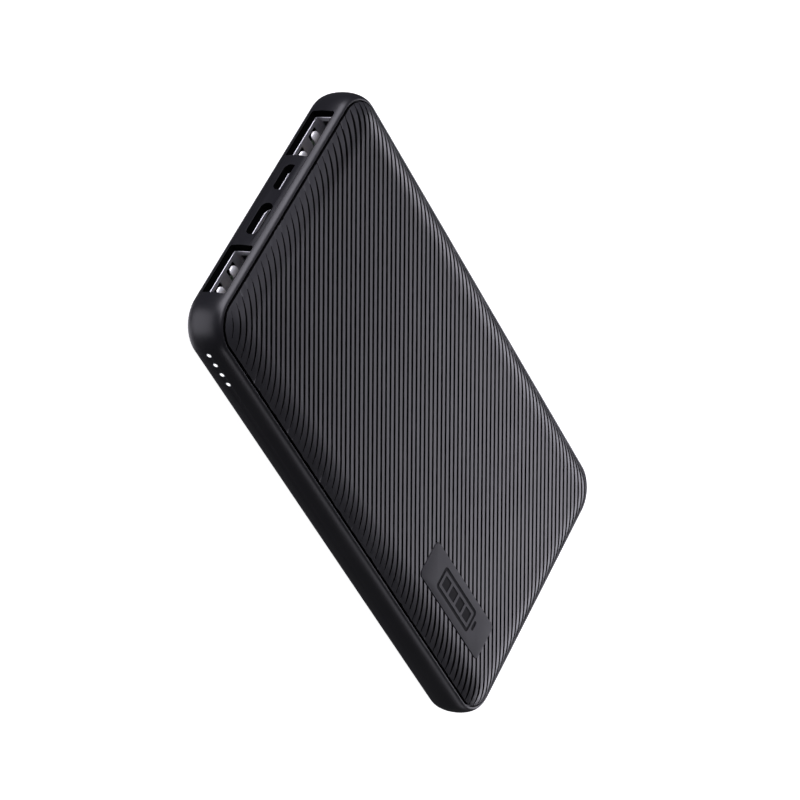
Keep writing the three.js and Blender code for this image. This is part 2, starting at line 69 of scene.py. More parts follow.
SIDE_BULGE = 1.75 * MM
CROWN = 2.15 * MM
SEAM_Z = TOP_Z - CROWN
SEAM_HALF_X = HALF_X - SIDE_BULGE
SEAM_HALF_Y = HALF_Y - SIDE_BULGE
SEAM_RADIUS = 6.7 * MM
print("half width and length:", round(HALF_X / MM, 2), round(HALF_Y / MM, 2))
print("thickness over the ridges:", round((TOP_Z - BOTTOM_Z) / MM, 2))

# %% [markdown]
# ## Camera
# The camera looks down on the corner between the socket end and the side with
# the lights. It is rolled on its side, so the power bank stands upright in the
# view. A long lens from 0.72 m keeps the edges nearly parallel.

# %% Camera
AIM = Vector((-0.51, -3.71, 7.54)) * MM
CAMERA_DISTANCE = 721.07 * MM
CAMERA_BACK = Vector((0.5062663, -0.6361288, 0.5822667)).normalized()
CAMERA_RIGHT = Vector((-0.4189186, 0.4087630, 0.8108144))


def aim_camera(name, back, right, distance, lens):
    """Stand a camera on the line `back` from the aim point, with its own right hand given."""
    right = (right - back * right.dot(back)).normalized()
    up = back.cross(right)
    turn = Matrix((right, up, back)).transposed().to_4x4()
    data = bpy.data.cameras.new(name)
    data.lens = lens
    data.sensor_width = 36
    data.clip_start = 0.01
    camera = bpy.data.objects.new(name, data)
    camera.matrix_world = Matrix.Translation(AIM + back * distance) @ turn
    bpy.context.scene.collection.objects.link(camera)
    return camera


camera = aim_camera("studio_camera", CAMERA_BACK, CAMERA_RIGHT, CAMERA_DISTANCE, 148.2)
bpy.context.scene.camera = camera
print("camera stands at", tuple(round(c, 3) for c in camera.location))

# %% [markdown]
# ## Working by hand in code
# Each new piece starts as a primitive and is shaped in edit mode. These small
# helpers do what a modeller's hand does: add a block, pick edges by where they
# are, round them, cut one solid with another, and put the origin back.

# %% Modelling helpers
def only(obj):
    """Make one object the only one selected, and the active one."""
    bpy.ops.object.select_all(action="DESELECT")
    obj.select_set(True)
    bpy.context.view_layer.objects.active = obj
    return obj


def settle(obj):
    """Put the piece's place, turn and size into its mesh."""
    only(obj)
    bpy.ops.object.transform_apply(location=True, rotation=True, scale=True)
    return obj


def block(name, low, high):
    """A cube stretched between two corners."""
    bpy.ops.object.select_all(action="DESELECT")
    low, high = Vector(low), Vector(high)
    bpy.ops.mesh.primitive_cube_add(size=1, location=(low + high) / 2)
    obj = bpy.context.active_object
    obj.name = obj.data.name = name
    obj.scale = high - low
    return settle(obj)


def pick(obj, domain, test):
    """In edit mode, select just the verts, edges or faces that pass the test."""
    only(obj)
    bpy.ops.object.mode_set(mode="EDIT")
    modes = {"verts": "VERT", "edges": "EDGE", "faces": "FACE"}
    bpy.ops.mesh.select_mode(type=modes[domain])
    bpy.ops.mesh.select_all(action="DESELECT")
    mesh = bmesh.from_edit_mesh(obj.data)
    count = 0
    for element in getattr(mesh, domain):
        if test(element):
            element.select_set(True)
            count += 1
    mesh.select_flush_mode()
    bmesh.update_edit_mesh(obj.data)
    return count


def done():
    """Leave edit mode."""
    bpy.ops.object.mode_set(mode="OBJECT")


def along(edge, axis):
    """True for an edge that runs along one axis (0, 1 or 2)."""
    run = edge.verts[1].co - edge.verts[0].co
    return abs(run[axis]) > 0.999 * run.length


def round_edges(obj, test, radius, segments):
    """Bevel the picked edges."""
    if pick(obj, "edges", test):
        bpy.ops.mesh.bevel(offset=radius, segments=segments, affect="EDGES")
    done()
    return obj


def boolean(obj, tool, operation="DIFFERENCE"):
    """Cut, join or keep the overlap with a tool solid, which is then thrown away."""
    only(obj)
    modifier = obj.modifiers.new("cut", "BOOLEAN")
    modifier.operation = operation
    modifier.solver = "EXACT"
    modifier.object = tool
    bpy.ops.object.modifier_apply(modifier=modifier.name)
    bpy.data.objects.remove(tool)
    return obj


def soft_shade(obj, degrees=35):
    """Shade smoothly over every edge that bends less than the angle."""
    only(obj)
    bpy.ops.object.shade_smooth_by_angle(angle=math.radians(degrees))
    return obj


SAME = 1e-6


def all_at(edge, axis, limit, sign=-1):
    """True where both ends of an edge lie at or past a limit, downwards or (1) upwards."""
    return all(sign * (v.co[axis] - limit) > -SAME for v in edge.verts)


def rounded_block(name, low, high, axis, radius, segments=8):
    """A block whose four edges along one axis are rounded."""
    obj = block(name, low, high)
    return round_edges(obj, lambda edge: along(edge, axis), radius, segments)


def place(piece, body, slot, *replaced):
    """Say which body the piece rides on, and the CAD nodes that it stands for. The finish,
    `slot`, is not used.
    """
    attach(piece, body)
    if replaced:
        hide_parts(*replaced)
    print(piece.name, len(piece.data.polygons), "faces")


# %% [markdown]
# ## Frame
# The real frame is one moulded ring with a soft, half-elliptic side. By hand it
# is quick to get: round the upright edges of a slab, round the top and bottom
# rims until they meet as a half circle, then stretch the slab upwards. The
# cavity, the seats of both covers and every opening are then cut out.

# %% Frame blank
LIP = 0.16 * MM
FRAME_HALF_HEIGHT = SEAM_Z - MID_Z
CORNER_RADIUS = SEAM_RADIUS + SIDE_BULGE


def frame_blank():
    rim = SIDE_BULGE - LIP
    slab_half = rim + 0.01 * MM
    slab = block(
        "mid_frame_fine",
        (-HALF_X, -HALF_Y, MID_Z - slab_half), (HALF_X, HALF_Y, MID_Z + slab_half),
    )
    round_edges(slab, lambda edge: along(edge, 2), CORNER_RADIUS, 20)
    on_rim = lambda edge: abs(edge.verts[0].co.z - edge.verts[1].co.z) < SAME
    round_edges(slab, on_rim, rim, 28)
    stretch = FRAME_HALF_HEIGHT / slab_half
    for vertex in slab.data.vertices:
        vertex.co.z = MID_Z + (vertex.co.z - MID_Z) * stretch
    return slab


def seam_prism(name, inset, z0, z1):
    """An upright prism on the seam outline, drawn in by `inset`."""
    x, y = SEAM_HALF_X - inset, SEAM_HALF_Y - inset
    return rounded_block(name, (-x, -y, z0), (x, y, z1), 2, SEAM_RADIUS - inset, 20)


WALL = 2.4 * MM
LEDGE = 10.3 * MM
mid_frame = frame_blank()
boolean(mid_frame, seam_prism("cavity_tool", WALL - SIDE_BULGE, -MM, TOP_Z + MM))
boolean(mid_frame, seam_prism("front_seat_tool", 0, LEDGE, TOP_Z + MM))
boolean(mid_frame, seam_prism("back_seat_tool", 0, -MM, BOTTOM_Z + TOP_Z - LEDGE))
print("frame blank:", len(mid_frame.data.polygons), "faces")

# %% [markdown]
# The openings follow the sockets' shells: two tall oblongs, a stadium, and a
# flat oblong with its two lower corners cut away. Each tool has the shape of its
# hole. The button and the four light pegs get holes in the long sides.

# %% Openings in the frame
RIM_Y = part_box("usb_c_shell")[0].y
CUT_CLEARANCE = 0.025 * MM
POCKET_CLEARANCE = 0.1 * MM


def shell_tool(node, corner, grow, y0, y1, foot=0.0):
    """A tool in the shape of a socket's shell; `foot` cuts its two lower corners away."""
    low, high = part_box(node)
    low, high = (low.x - grow, y0, low.z - grow), (high.x + grow, y1, high.z + grow)
    if foot:
        tool = block(node + "_tool", low, high)
        at_bottom = lambda edge: along(edge, 1) and edge.verts[0].co.z < (low[2] + high[2]) / 2
        round_edges(tool, at_bottom, foot, 1)
        return round_edges(tool, lambda edge: along(edge, 1), corner, 3)
    return rounded_block(node + "_tool", low, high, 1, corner, 8)


SOCKET_CORNERS = {
    "usb_a_1_shell": (0.5 * MM, 0),
    "usb_a_2_shell": (0.5 * MM, 0),
    "usb_c_shell": (1.54 * MM, 0),
    "micro_usb_shell": (0.25 * MM, 0.95 * MM),
}

for node, (corner, foot) in SOCKET_CORNERS.items():
    outside, inside = -HALF_Y - MM, RIM_Y + 1.5 * MM
    boolean(mid_frame, shell_tool(node, corner, CUT_CLEARANCE, outside, RIM_Y - 0.09 * MM, foot))
    seat = shell_tool(node, corner, POCKET_CLEARANCE, RIM_Y - 0.1 * MM, inside, foot)
    boolean(mid_frame, seat)

button_low, button_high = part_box("power_button")
BUTTON_Y = (button_low.y + button_high.y) / 2
BUTTON_HALF_Y = 3.9 * MM
BUTTON_HALF_Z = 1.2 * MM
slot_y, slot_z = BUTTON_HALF_Y + 0.12 * MM, BUTTON_HALF_Z + 0.12 * MM
boolean(
    mid_frame,
    rounded_block(
        "button_tool",
        (-HALF_X - MM, BUTTON_Y - slot_y, MID_Z - slot_z),
        (-HALF_X + 3 * MM, BUTTON_Y + slot_y, MID_Z + slot_z),
        0, slot_z - 0.01 * MM, 10,
    ),
)

LIGHT_Y = [(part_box(f"indicator_led_{n}")[0].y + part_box(f"indicator_led_{n}")[1].y) / 2
           for n in range(1, 5)]
PEG_RADIUS = 0.6 * MM
for y in LIGHT_Y:
    bpy.ops.object.select_all(action="DESELECT")
    bpy.ops.mesh.primitive_cylinder_add(
        vertices=32, radius=PEG_RADIUS + 0.05 * MM, depth=4 * MM,
        location=(HALF_X - MM, y, MID_Z), rotation=(0, math.pi / 2, 0),
    )
    boolean(mid_frame, settle(bpy.context.active_object))
print("frame with its openings:", len(mid_frame.data.polygons), "faces")

# %% [markdown]
# A moulded edge is never quite sharp. The edges around the openings, and the
# frame's inner rims beside the covers, are found by their place and their angle.
# Each gets a very small round, which draws a thin line of light along it.

# %% Soften the openings and the inner rims
OPENING_ROUND = 0.1 * MM
SEAM_ROUND = 0.13 * MM


def at_an_opening(edge):
    """A sharp edge on the outer face of the frame."""
    if len(edge.link_faces) != 2 or edge.calc_face_angle(0) < math.radians(40):
        return False
    middle = (edge.verts[0].co + edge.verts[1].co) / 2
    on_socket_wall = middle.y < RIM_Y - 1.2 * MM and abs(middle.z - MID_Z) < 3.4 * MM
    on_side_wall = abs(middle.x) > HALF_X - 0.3 * MM
    return on_socket_wall or on_side_wall


round_edges(mid_frame, at_an_opening, OPENING_ROUND, 2)


def edge_distance(x, y):
    """How far a point lies inside the seam outline."""
    qx = np.abs(x) - (SEAM_HALF_X - SEAM_RADIUS)
    qy = np.abs(y) - (SEAM_HALF_Y - SEAM_RADIUS)
    corner = np.hypot(np.maximum(qx, 0), np.maximum(qy, 0))
    return SEAM_RADIUS - corner - np.minimum(np.maximum(qx, qy), 0)


def at_the_seam(edge):
    """The frame's inner rims, beside the covers."""
    middle = (edge.verts[0].co + edge.verts[1].co) / 2
    height = abs(middle.z - MID_Z)
    return (
        abs(height - FRAME_HALF_HEIGHT) < 0.02 * MM and len(edge.link_faces) == 2
        and abs(float(edge_distance(middle.x, middle.y))) < 0.03 * MM
        and edge.calc_face_angle(0) > math.radians(60)
    )


round_edges(mid_frame, at_the_seam, SEAM_ROUND, 3)
soft_shade(mid_frame, 40)
place(mid_frame, "case", "satin_plastic", "mid_frame")

# %% [markdown]
# ## Ridged covers
# Both covers are crowned plates with straight ridges that run at 45 degrees over
# the crown and fade out just before the edge. A fine grid is laid so that its
# rows run along the ridges, and trimmed to the rounded outline with one bisect
# for each side and for each step of the corners. Then every point is lifted to
# the crown and lowered into its groove. Doing it in the mesh, and not with a
# bump, keeps the grooves true at the silhouette and in their shadows.

# %% Ridge and crown shape
PITCH = 1.59983 * MM
FIRST_GROOVE = -0.6152 * MM
GROOVE_DEPTH = 0.5 * MM
MIN_WIDTH = 0.2
CROWN_WIDTH = 7.1 * MM
CROWN_POWER = 2.8
SEAM_GAP = 0.34 * MM
ROWS = (0.0, 0.05, 0.1, 0.15, 0.19, 0.22, 0.5, 0.78, 0.81, 0.85, 0.9, 0.95)
GROOVE_FLOOR = 0.05
GROOVE_HALF = 0.22
RUN_OUT = ((0.8, 2.0, 4.0, 8.0), (0.0, 0.34, 0.66, 1.0))


def smooth_step(low, high, value):
    t = np.clip((value - low) / (high - low), 0, 1)
    return t * t * (3 - 2 * t)


def crown_height(d):
    return SEAM_Z + CROWN * (1 - (1 - np.clip(d / CROWN_WIDTH, 0, 1)) ** CROWN_POWER)


def groove_width(x, y):
    """How wide a groove is, as a part of its full width. It runs out more slowly on the
    sides with the sockets and the lights than on the two sides opposite."""
    opposite = smooth_step(-0.5, 0.5, (y / HALF_Y - x / HALF_X) / 2)
    distances, widths = RUN_OUT
    return np.interp(edge_distance(x, y) * (1 + 3 * opposite) / MM, distances, widths)


def across_ridges(x, y):
    """(number of the nearest groove, place beside it from -0.5 to 0.5 of a pitch)."""
    place_in_row = ((x - y) / math.sqrt(2) - FIRST_GROOVE) / PITCH
    number = np.round(place_in_row)
    return number, place_in_row - number


def groove_depth(x, y):
    """Depth below the ridge tops: a groove gets narrower and shallower as it runs out."""
    width = groove_width(x, y)
    beside = np.abs(across_ridges(x, y)[1])
    reach = np.maximum(width, MIN_WIDTH)
    wall = np.interp(beside / reach, (GROOVE_FLOOR, GROOVE_HALF), (0, 1))
    return GROOVE_DEPTH * np.minimum(1, 1.6 * width) * smooth_step(0, 0.2, width) * (1 - wall)


# %% Cover surface
def ridge_grid(name):
    """A flat sheet whose rows lie along the ridges, closer together in the grooves."""
    reach = 72 * MM
    half_count = math.ceil(reach / PITCH)
    rows = 2 * half_count * len(ROWS)
    columns = round(2 * reach / (1.4 * MM))
    bpy.ops.object.select_all(action="DESELECT")
    bpy.ops.mesh.primitive_grid_add(x_subdivisions=rows, y_subdivisions=columns, size=1)
    sheet = bpy.context.active_object
    sheet.name = sheet.data.name = name
    points = read_points(sheet)
    row = np.rint((points[:, 0] + 0.5) * rows).astype(int)
    whole, part = np.divmod(row, len(ROWS))
    points[:, 0] = (whole - half_count + np.array(ROWS)[part]) * PITCH + FIRST_GROOVE
    points[:, 1] *= 2 * reach
    write_points(sheet, points)
    sheet.rotation_euler = (0, 0, math.radians(-45))
    return settle(sheet)


def read_points(obj):
    points = np.empty(len(obj.data.vertices) * 3)
    obj.data.vertices.foreach_get("co", points)
    return points.reshape(-1, 3)


def write_points(obj, points):
    obj.data.vertices.foreach_set("co", points.ravel())
    obj.data.update()


def trim_to_outline(sheet, inset, steps=10):
    """Cut away all that lies outside the seam outline, drawn in by `inset`."""
    radius = SEAM_RADIUS - inset
    pick(sheet, "faces", lambda face: True)
    sides = [k for k in range(4 * steps) if k % steps == 0]
    corners = [k for k in range(4 * steps) if k % steps]
    for k in sides + corners:
        angle = k / steps * math.pi / 2
        normal = Vector((math.cos(angle), math.sin(angle), 0))
        centre = Vector((
            math.copysign(SEAM_HALF_X - SEAM_RADIUS, normal.x),
            math.copysign(SEAM_HALF_Y - SEAM_RADIUS, normal.y), 0,
        ))
        bpy.ops.mesh.select_all(action="SELECT")
        bpy.ops.mesh.bisect(plane_co=centre + normal * radius, plane_no=normal, clear_outer=True)
    done()


def gather_rows(sheet):
    """Slide the rows towards each groove where it is narrower, so they stay on its edges."""
    points = read_points(sheet)
    x, y = points[:, 0], points[:, 1]
    beside = across_ridges(x, y)[1]
    edge = GROOVE_HALF * np.maximum(groove_width(x, y), MIN_WIDTH)
    in_groove = np.abs(beside) / GROOVE_HALF * edge
    on_ridge = edge + (np.abs(beside) - GROOVE_HALF) * (0.5 - edge) / (0.5 - GROOVE_HALF)
    moved = np.copysign(np.where(np.abs(beside) < GROOVE_HALF, in_groove, on_ridge), beside)
    slide = (moved - beside) * PITCH / math.sqrt(2)
    points[:, 0] += slide
    points[:, 1] -= slide
    write_points(sheet, points)


def ridged_skin(name):
    skin = ridge_grid(name)
    gather_rows(skin)
    trim_to_outline(skin, SEAM_GAP)
    points = read_points(skin)
    x, y = points[:, 0], points[:, 1]
    points[:, 2] = crown_height(edge_distance(x, y)) - groove_depth(x, y)
    write_points(skin, points)
    print(name, "skin:", len(skin.data.polygons), "faces")
    return skin


# %% Turn the surface into a hollow cover
CEILING_Z = 11.9 * MM
SKIRT = 1.4 * MM


def extrude_rim(dz, inset):
    """Extrude the selected rim, then lift it and draw it in."""
    bpy.ops.mesh.extrude_region_move(TRANSFORM_OT_translate={"value": (0, 0, dz)})
    if inset:
        scale = (1 - inset / SEAM_HALF_X, 1 - inset / SEAM_HALF_Y, 1)
        bpy.ops.transform.resize(value=scale, center_override=(0, 0, 0))


def close_underneath(cover):
    """From the outer rim: down the skirt, in under it, up the inside and across the ceiling."""
    rim_z = float(crown_height(np.array(SEAM_GAP)))
    pick(cover, "edges", lambda edge: edge.is_boundary)
    skirt_z = LEDGE + 0.05 * MM
    extrude_rim(skirt_z - rim_z, 0)
    extrude_rim(0, SKIRT)
    extrude_rim(SEAM_Z - 0.15 * MM - skirt_z, 0)
    extrude_rim(CEILING_Z - SEAM_Z + 0.15 * MM, 2.6 * MM)
    bpy.ops.mesh.extrude_region_move(TRANSFORM_OT_translate={"value": (0, 0, 0)})
    bpy.ops.mesh.merge(type="CENTER")
    bpy.ops.mesh.select_all(action="SELECT")
    bpy.ops.mesh.normals_make_consistent(inside=False)
    done()


front_cover = ridged_skin("front_cover_fine")
close_underneath(front_cover)

# %% [markdown]
# The back cover is the same moulding turned over, so the front one is copied
# before the badge's pocket is cut in it. A smooth field, where a printed label
# would go, is let into a shallow pocket that interrupts the ridges on the back;
# it is left blank.

# %% Back cover
def duplicate(obj, name, move=(0, 0, 0), turn=(0, 0, 0)):
    """A copy with its own mesh, turned and then moved."""
    copy = obj.copy()
    copy.data = obj.data.copy()
    copy.name = copy.data.name = name
    bpy.context.scene.collection.objects.link(copy)
    copy.location, copy.rotation_euler = move, turn
    return settle(copy)


back_cover = duplicate(
    front_cover, "back_cover_fine", (0, 0, BOTTOM_Z + TOP_Z), (0, math.pi, 0)
)

LABEL_HALF_X = 21 * MM
LABEL_HALF_Y = 33 * MM
LABEL_CORNER = 2 * MM
LABEL_THICKNESS = 0.5 * MM
LABEL_GAP = 0.06 * MM


def label_block(name, grow, z0, z1):
    """A block in the outline of the label field, grown by `grow`."""
    x, y = LABEL_HALF_X + grow, LABEL_HALF_Y + grow
    return rounded_block(name, (-x, -y, z0), (x, y, z1), 2, LABEL_CORNER, 8)


pocket_top = BOTTOM_Z + LABEL_THICKNESS - 0.05 * MM
boolean(back_cover, label_block("label_pocket_tool", LABEL_GAP, BOTTOM_Z - MM, pocket_top))
soft_shade(back_cover, 28)
place(back_cover, "case", "ridged_plastic", "back_cover")

label_field = label_block("back_label_field", 0, BOTTOM_Z, BOTTOM_Z + LABEL_THICKNESS)
round_edges(label_field, lambda edge: all_at(edge, 2, BOTTOM_Z), 0.08 * MM, 2)
soft_shade(label_field)
place(label_field, "case", "ridged_plastic")

# %% [markdown]
# ## Badge
# The badge is a separate smooth inlay that sits in a pocket of the front cover
# and stands a little proud of the ridges. It carries a plain battery symbol,
# sunk in, with a near-black piece laid in its floor, drawn here from blocks.

# %% Badge and its symbol
badge_low, badge_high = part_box("badge_plate")
BADGE_CORNER = 1.2 * MM
POCKET_GAP = 0.14 * MM

pocket = rounded_block(
    "badge_pocket_tool",
    (badge_low.x - POCKET_GAP, badge_low.y - POCKET_GAP, badge_low.z - 0.05 * MM),
    (badge_high.x + POCKET_GAP, badge_high.y + POCKET_GAP, TOP_Z + MM),
    2, BADGE_CORNER + POCKET_GAP, 10,
)
boolean(front_cover, pocket)
soft_shade(front_cover, 28)
place(front_cover, "case", "ridged_plastic", "front_cover")

badge = rounded_block("badge_plate_fine", badge_low, badge_high, 2, BADGE_CORNER, 12)
round_edges(badge, lambda edge: all_at(edge, 2, badge_high.z, 1), 0.09 * MM, 3)

SYMBOL_DEPTH = 0.16 * MM
badge_middle = (badge_low + badge_high) / 2


def symbol_block(name, y0, y1, half_x, corner, depth=SYMBOL_DEPTH):
    """One bar of the symbol, from y0 to y1 measured from the badge's middle."""
    low = (badge_middle.x - half_x, badge_middle.y + y0, badge_high.z - depth)
    high = (badge_middle.x + half_x, badge_middle.y + y1, badge_high.z + 0.2 * MM)
    return rounded_block(name, low, high, 2, corner, 5)


def battery_symbol(name, depth):
    """An outlined battery with a cap and four charge bars."""
    outline = symbol_block(name, -9 * MM, 8 * MM, 2.9 * MM, 0.9 * MM, depth)
    boolean(outline, symbol_block("hollow", -8.2 * MM, 7.2 * MM, 2.1 * MM, 0.4 * MM, 2 * depth))
    boolean(outline, symbol_block("cap", 8.6 * MM, 9.6 * MM, 1.2 * MM, 0.35 * MM, depth), "UNION")
    for n in range(4):
        start = (-7.4 + 3.65 * n) * MM
        bar = symbol_block("bar", start, start + 2.85 * MM, 1.35 * MM, 0.25 * MM, depth)
        boolean(outline, bar, "UNION")
    return outline


boolean(badge, battery_symbol("symbol_tool", SYMBOL_DEPTH))
soft_shade(badge)
place(badge, "case", "badge", "badge_plate")

symbol = battery_symbol("badge_symbol", SYMBOL_DEPTH)
fill_low = badge_high.z - SYMBOL_DEPTH
for vertex in symbol.data.vertices:
    above = vertex.co.z > badge_high.z
    vertex.co.z = fill_low + (0.05 * MM if above else -0.02 * MM)
soft_shade(symbol)
place(symbol, "case", "satin_plastic")

# %% [markdown]
# ## Sockets
# Each socket is a thin sheet-metal tube. The full-size ones have four windows
# with a sprung finger in each, which grips the plug, and a window in each end
# wall with a black film behind it. The tube is a block with rounded edges and a
# bore, and its mouth gets a small round that catches the light. A finger is a
# narrow grid laid along its bent line, drawn in to a round tip, and thickened
# with Solidify. The fingers are marked, so that they can be coated in a brighter
# steel: a painted highlight. The second full-size socket is a copy.

# %% Sheet-metal tubes
SHELL_WALL = {"usb_a_1_shell": 0.3 * MM, "usb_c_shell": 0.3 * MM, "micro_usb_shell": 0.25 * MM}
MOUTH_ROUND = 0.46


def hollow_shell(node):
    """A metal tube in the place of a socket's shell."""
    corner, foot = SOCKET_CORNERS[node]
    low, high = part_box(node)
    wall = SHELL_WALL[node]
    shell = shell_tool(node, corner, 0, low.y, high.y, foot)
    bore_corner = max(corner - wall, 0.1 * MM)
    bore_foot = foot - 0.6 * wall if foot else 0
    boolean(shell, shell_tool(node, bore_corner, -wall, low.y - MM, high.y + MM, bore_foot))
    shell.name = shell.data.name = node + "_fine"
    return shell


def round_the_mouth(shell, wall):
    """Round both edges of the mouth, so that the rim of the sheet is nearly a half circle."""
    at_mouth = lambda edge: (
        all_at(edge, 1, RIM_Y) and edge.calc_face_angle(0) > math.radians(60)
    )
    return round_edges(shell, at_mouth, MOUTH_ROUND * wall, 4)


# %% Sprung fingers
FINGER_LINE = (
    (6.4, 0), (5.3, 0.06), (4.2, 0.16), (3.2, 0.32), (2.3, 0.48), (1.9, 0.53), (1.6, 0.53),
    (1.3, 0.47), (1.05, 0.36), (0.8, 0.18), (0.6, -0.02),
)
FINGER_HALF_WIDTH = 1.1 * MM
FINGER_THICKNESS = 0.24 * MM
TIP_LENGTH = 0.6 * MM

WINDOW_STARTS = ((-1, 0.9 * MM), (1, 3.2 * MM))
WINDOW_X = 2.95 * MM
WINDOW_HALF_WIDTH = 1.55 * MM
WINDOW_LENGTH = 6.2 * MM
WINDOW_CORNER = 0.3 * MM
END_WINDOW = (1.1 * MM, 5.5 * MM)
END_WINDOW_HALF_Z = 1.7 * MM
FILM = 0.06 * MM
FILM_GAP = 0.02 * MM
FILM_LAP = 0.3 * MM


def sprung_finger(x, y, z, side):
    """A finger with its root at the far end; side is -1 in the lower wall, 1 in the upper."""
    bpy.ops.object.select_all(action="DESELECT")
    last = len(FINGER_LINE) - 1
    bpy.ops.mesh.primitive_grid_add(x_subdivisions=6, y_subdivisions=last, size=1)
    finger = bpy.context.active_object
    finger.name = "finger"
    points = read_points(finger)
    step = np.rint((0.5 - points[:, 1]) * last).astype(int)
    along_it, lift = (np.array(FINGER_LINE)[step] * MM).T
    to_tip = along_it - FINGER_LINE[-1][0] * MM
    tip = np.clip(1 - to_tip / TIP_LENGTH, 0, 1)
    half_width = FINGER_HALF_WIDTH * np.sqrt(1 - 0.85 * tip ** 2)
    points[:, 0] = x + 2 * points[:, 0] * half_width
    points[:, 1] = y + along_it
    points[:, 2] = z - side * lift
    write_points(finger, points)
    thicken = finger.modifiers.new("thickness", "SOLIDIFY")
    thicken.thickness = FINGER_THICKNESS
    thicken.offset = 0
    bpy.ops.object.modifier_apply(modifier=thicken.name)
    pick(finger, "faces", lambda face: True)
    bpy.ops.mesh.normals_make_consistent(inside=False)
    done()
    return finger


def join(pieces):
    """Join several objects into the first one."""
    only(pieces[0])
    for piece in pieces[1:]:
        piece.select_set(True)
    bpy.ops.object.join()
    return pieces[0]


def full_size_shell(node):
    """A full-size socket's shell with its four windows and fingers."""
    shell = hollow_shell(node)
    low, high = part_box(node)
    middle_x, middle_z = (low.x + high.x) / 2, (low.z + high.z) / 2
    wall_middle = (high.z - low.z) / 2 - SHELL_WALL[node] / 2
    fingers = []
    for side, start in WINDOW_STARTS:
        for x in (middle_x - WINDOW_X, middle_x + WINDOW_X):
            y, z = low.y + start, middle_z + side * wall_middle
            window = rounded_block(
                "window_tool", (x - WINDOW_HALF_WIDTH, y, z - WINDOW_CORNER),
                (x + WINDOW_HALF_WIDTH, y + WINDOW_LENGTH, z + WINDOW_CORNER),
                2, WINDOW_CORNER, 4,
            )
            boolean(shell, window)
            fingers.append(sprung_finger(x, y, z, side))
    y0, y1 = low.y + END_WINDOW[0], low.y + END_WINDOW[1]
    for wall_x in (low.x, high.x):
        end_window = rounded_block(
            "end_window_tool", (wall_x - 0.5 * MM, y0, middle_z - END_WINDOW_HALF_Z),
            (wall_x + 0.5 * MM, y1, middle_z + END_WINDOW_HALF_Z), 0, WINDOW_CORNER, 4,
        )
        boolean(shell, end_window)
    for finger in fingers:
        # Mark the fingers' faces for the brighter steel, which is a painted highlight.
        painted_highlight = finger.data.attributes.new("painted_highlight", "BOOLEAN", "FACE")
        painted_highlight.data.foreach_set("value", [True] * len(painted_highlight.data))
    return join([round_the_mouth(shell, SHELL_WALL[node])] + fingers)


def end_films(node):
    """Two thin black plates, just outside the end windows."""
    low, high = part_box(node)
    middle_z = (low.z + high.z) / 2
    y0, y1 = low.y + END_WINDOW[0] - FILM_LAP, low.y + END_WINDOW[1] + FILM_LAP
    half_z = END_WINDOW_HALF_Z + FILM_LAP
    return join([
        block(node + "_film", (x, y0, middle_z - half_z), (x + FILM, y1, middle_z + half_z))
        for x in (low.x - FILM_GAP - FILM, high.x + FILM_GAP)
    ])


first, second = "usb_a_1_shell", "usb_a_2_shell"
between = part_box(second)[0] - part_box(first)[0]
socket_films = [end_films(first)]
full_size = soft_shade(full_size_shell(first), 40)
socket_films.append(duplicate(socket_films[0], second + "_film", between))
second_full_size = duplicate(full_size, second + "_fine", between)
for film in socket_films:
    place(film, "case", "socket_plastic")

socket_shells = [full_size, second_full_size]
for name in ("usb_c_shell", "micro_usb_shell"):
    socket_shells.append(soft_shade(round_the_mouth(hollow_shell(name), SHELL_WALL[name]), 40))
for shell, name in zip(socket_shells, SOCKET_CORNERS):
    place(shell, "case", "steel", name)

# %% [markdown]
# The small sockets' tongues carry flat gold pads, twelve on each face of one and
# five under the other. One pad is made and copied along its row, and the rows
# are joined into one piece for each socket.

# %% Gold pads
def pad_row(name, x, y0, y1, z, count, pitch, width):
    """A row of flat pads centred on x."""
    first_x = x - (count - 1) / 2 * pitch
    low = (first_x - width / 2, y0, z - 0.02 * MM)
    high = (first_x + width / 2, y1, z + 0.02 * MM)
    first = rounded_block(name, low, high, 2, 0.08 * MM, 2)
    copies = [duplicate(first, name, (n * pitch, 0, 0)) for n in range(1, count)]
    return join([first] + copies)


usb_c_low, usb_c_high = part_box("usb_c_shell")
usb_c_x, usb_c_z = (usb_c_low.x + usb_c_high.x) / 2, (usb_c_low.z + usb_c_high.z) / 2
usb_c_pads = join([
    pad_row("usb_c_pads", usb_c_x, RIM_Y + 1.2 * MM, RIM_Y + 5.0 * MM,
            usb_c_z + side * 0.35 * MM, 12, 0.5 * MM, 0.26 * MM)
    for side in (-1, 1)
])
place(usb_c_pads, "case", "gold_contact")

micro_low, micro_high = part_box("micro_usb_shell")
micro_x, micro_z = (micro_low.x + micro_high.x) / 2, (micro_low.z + micro_high.z) / 2
micro_pads = pad_row("micro_usb_pads", micro_x, RIM_Y + 1.1 * MM, RIM_Y + 4.2 * MM,
                     micro_z, 5, 0.65 * MM, 0.36 * MM)
place(micro_pads, "case", "gold_contact")

# %% [markdown]
# ## Power button
# The button is one moulding: a long pill that stands a little proud of the side
# wall, with a shallow dish for the fingertip, and a flange inside that keeps it
# from falling out. The pill's outer rim is rounded. Its face is then extruded in
# four small steps, each drawn in and sunk a little, which makes the dish.

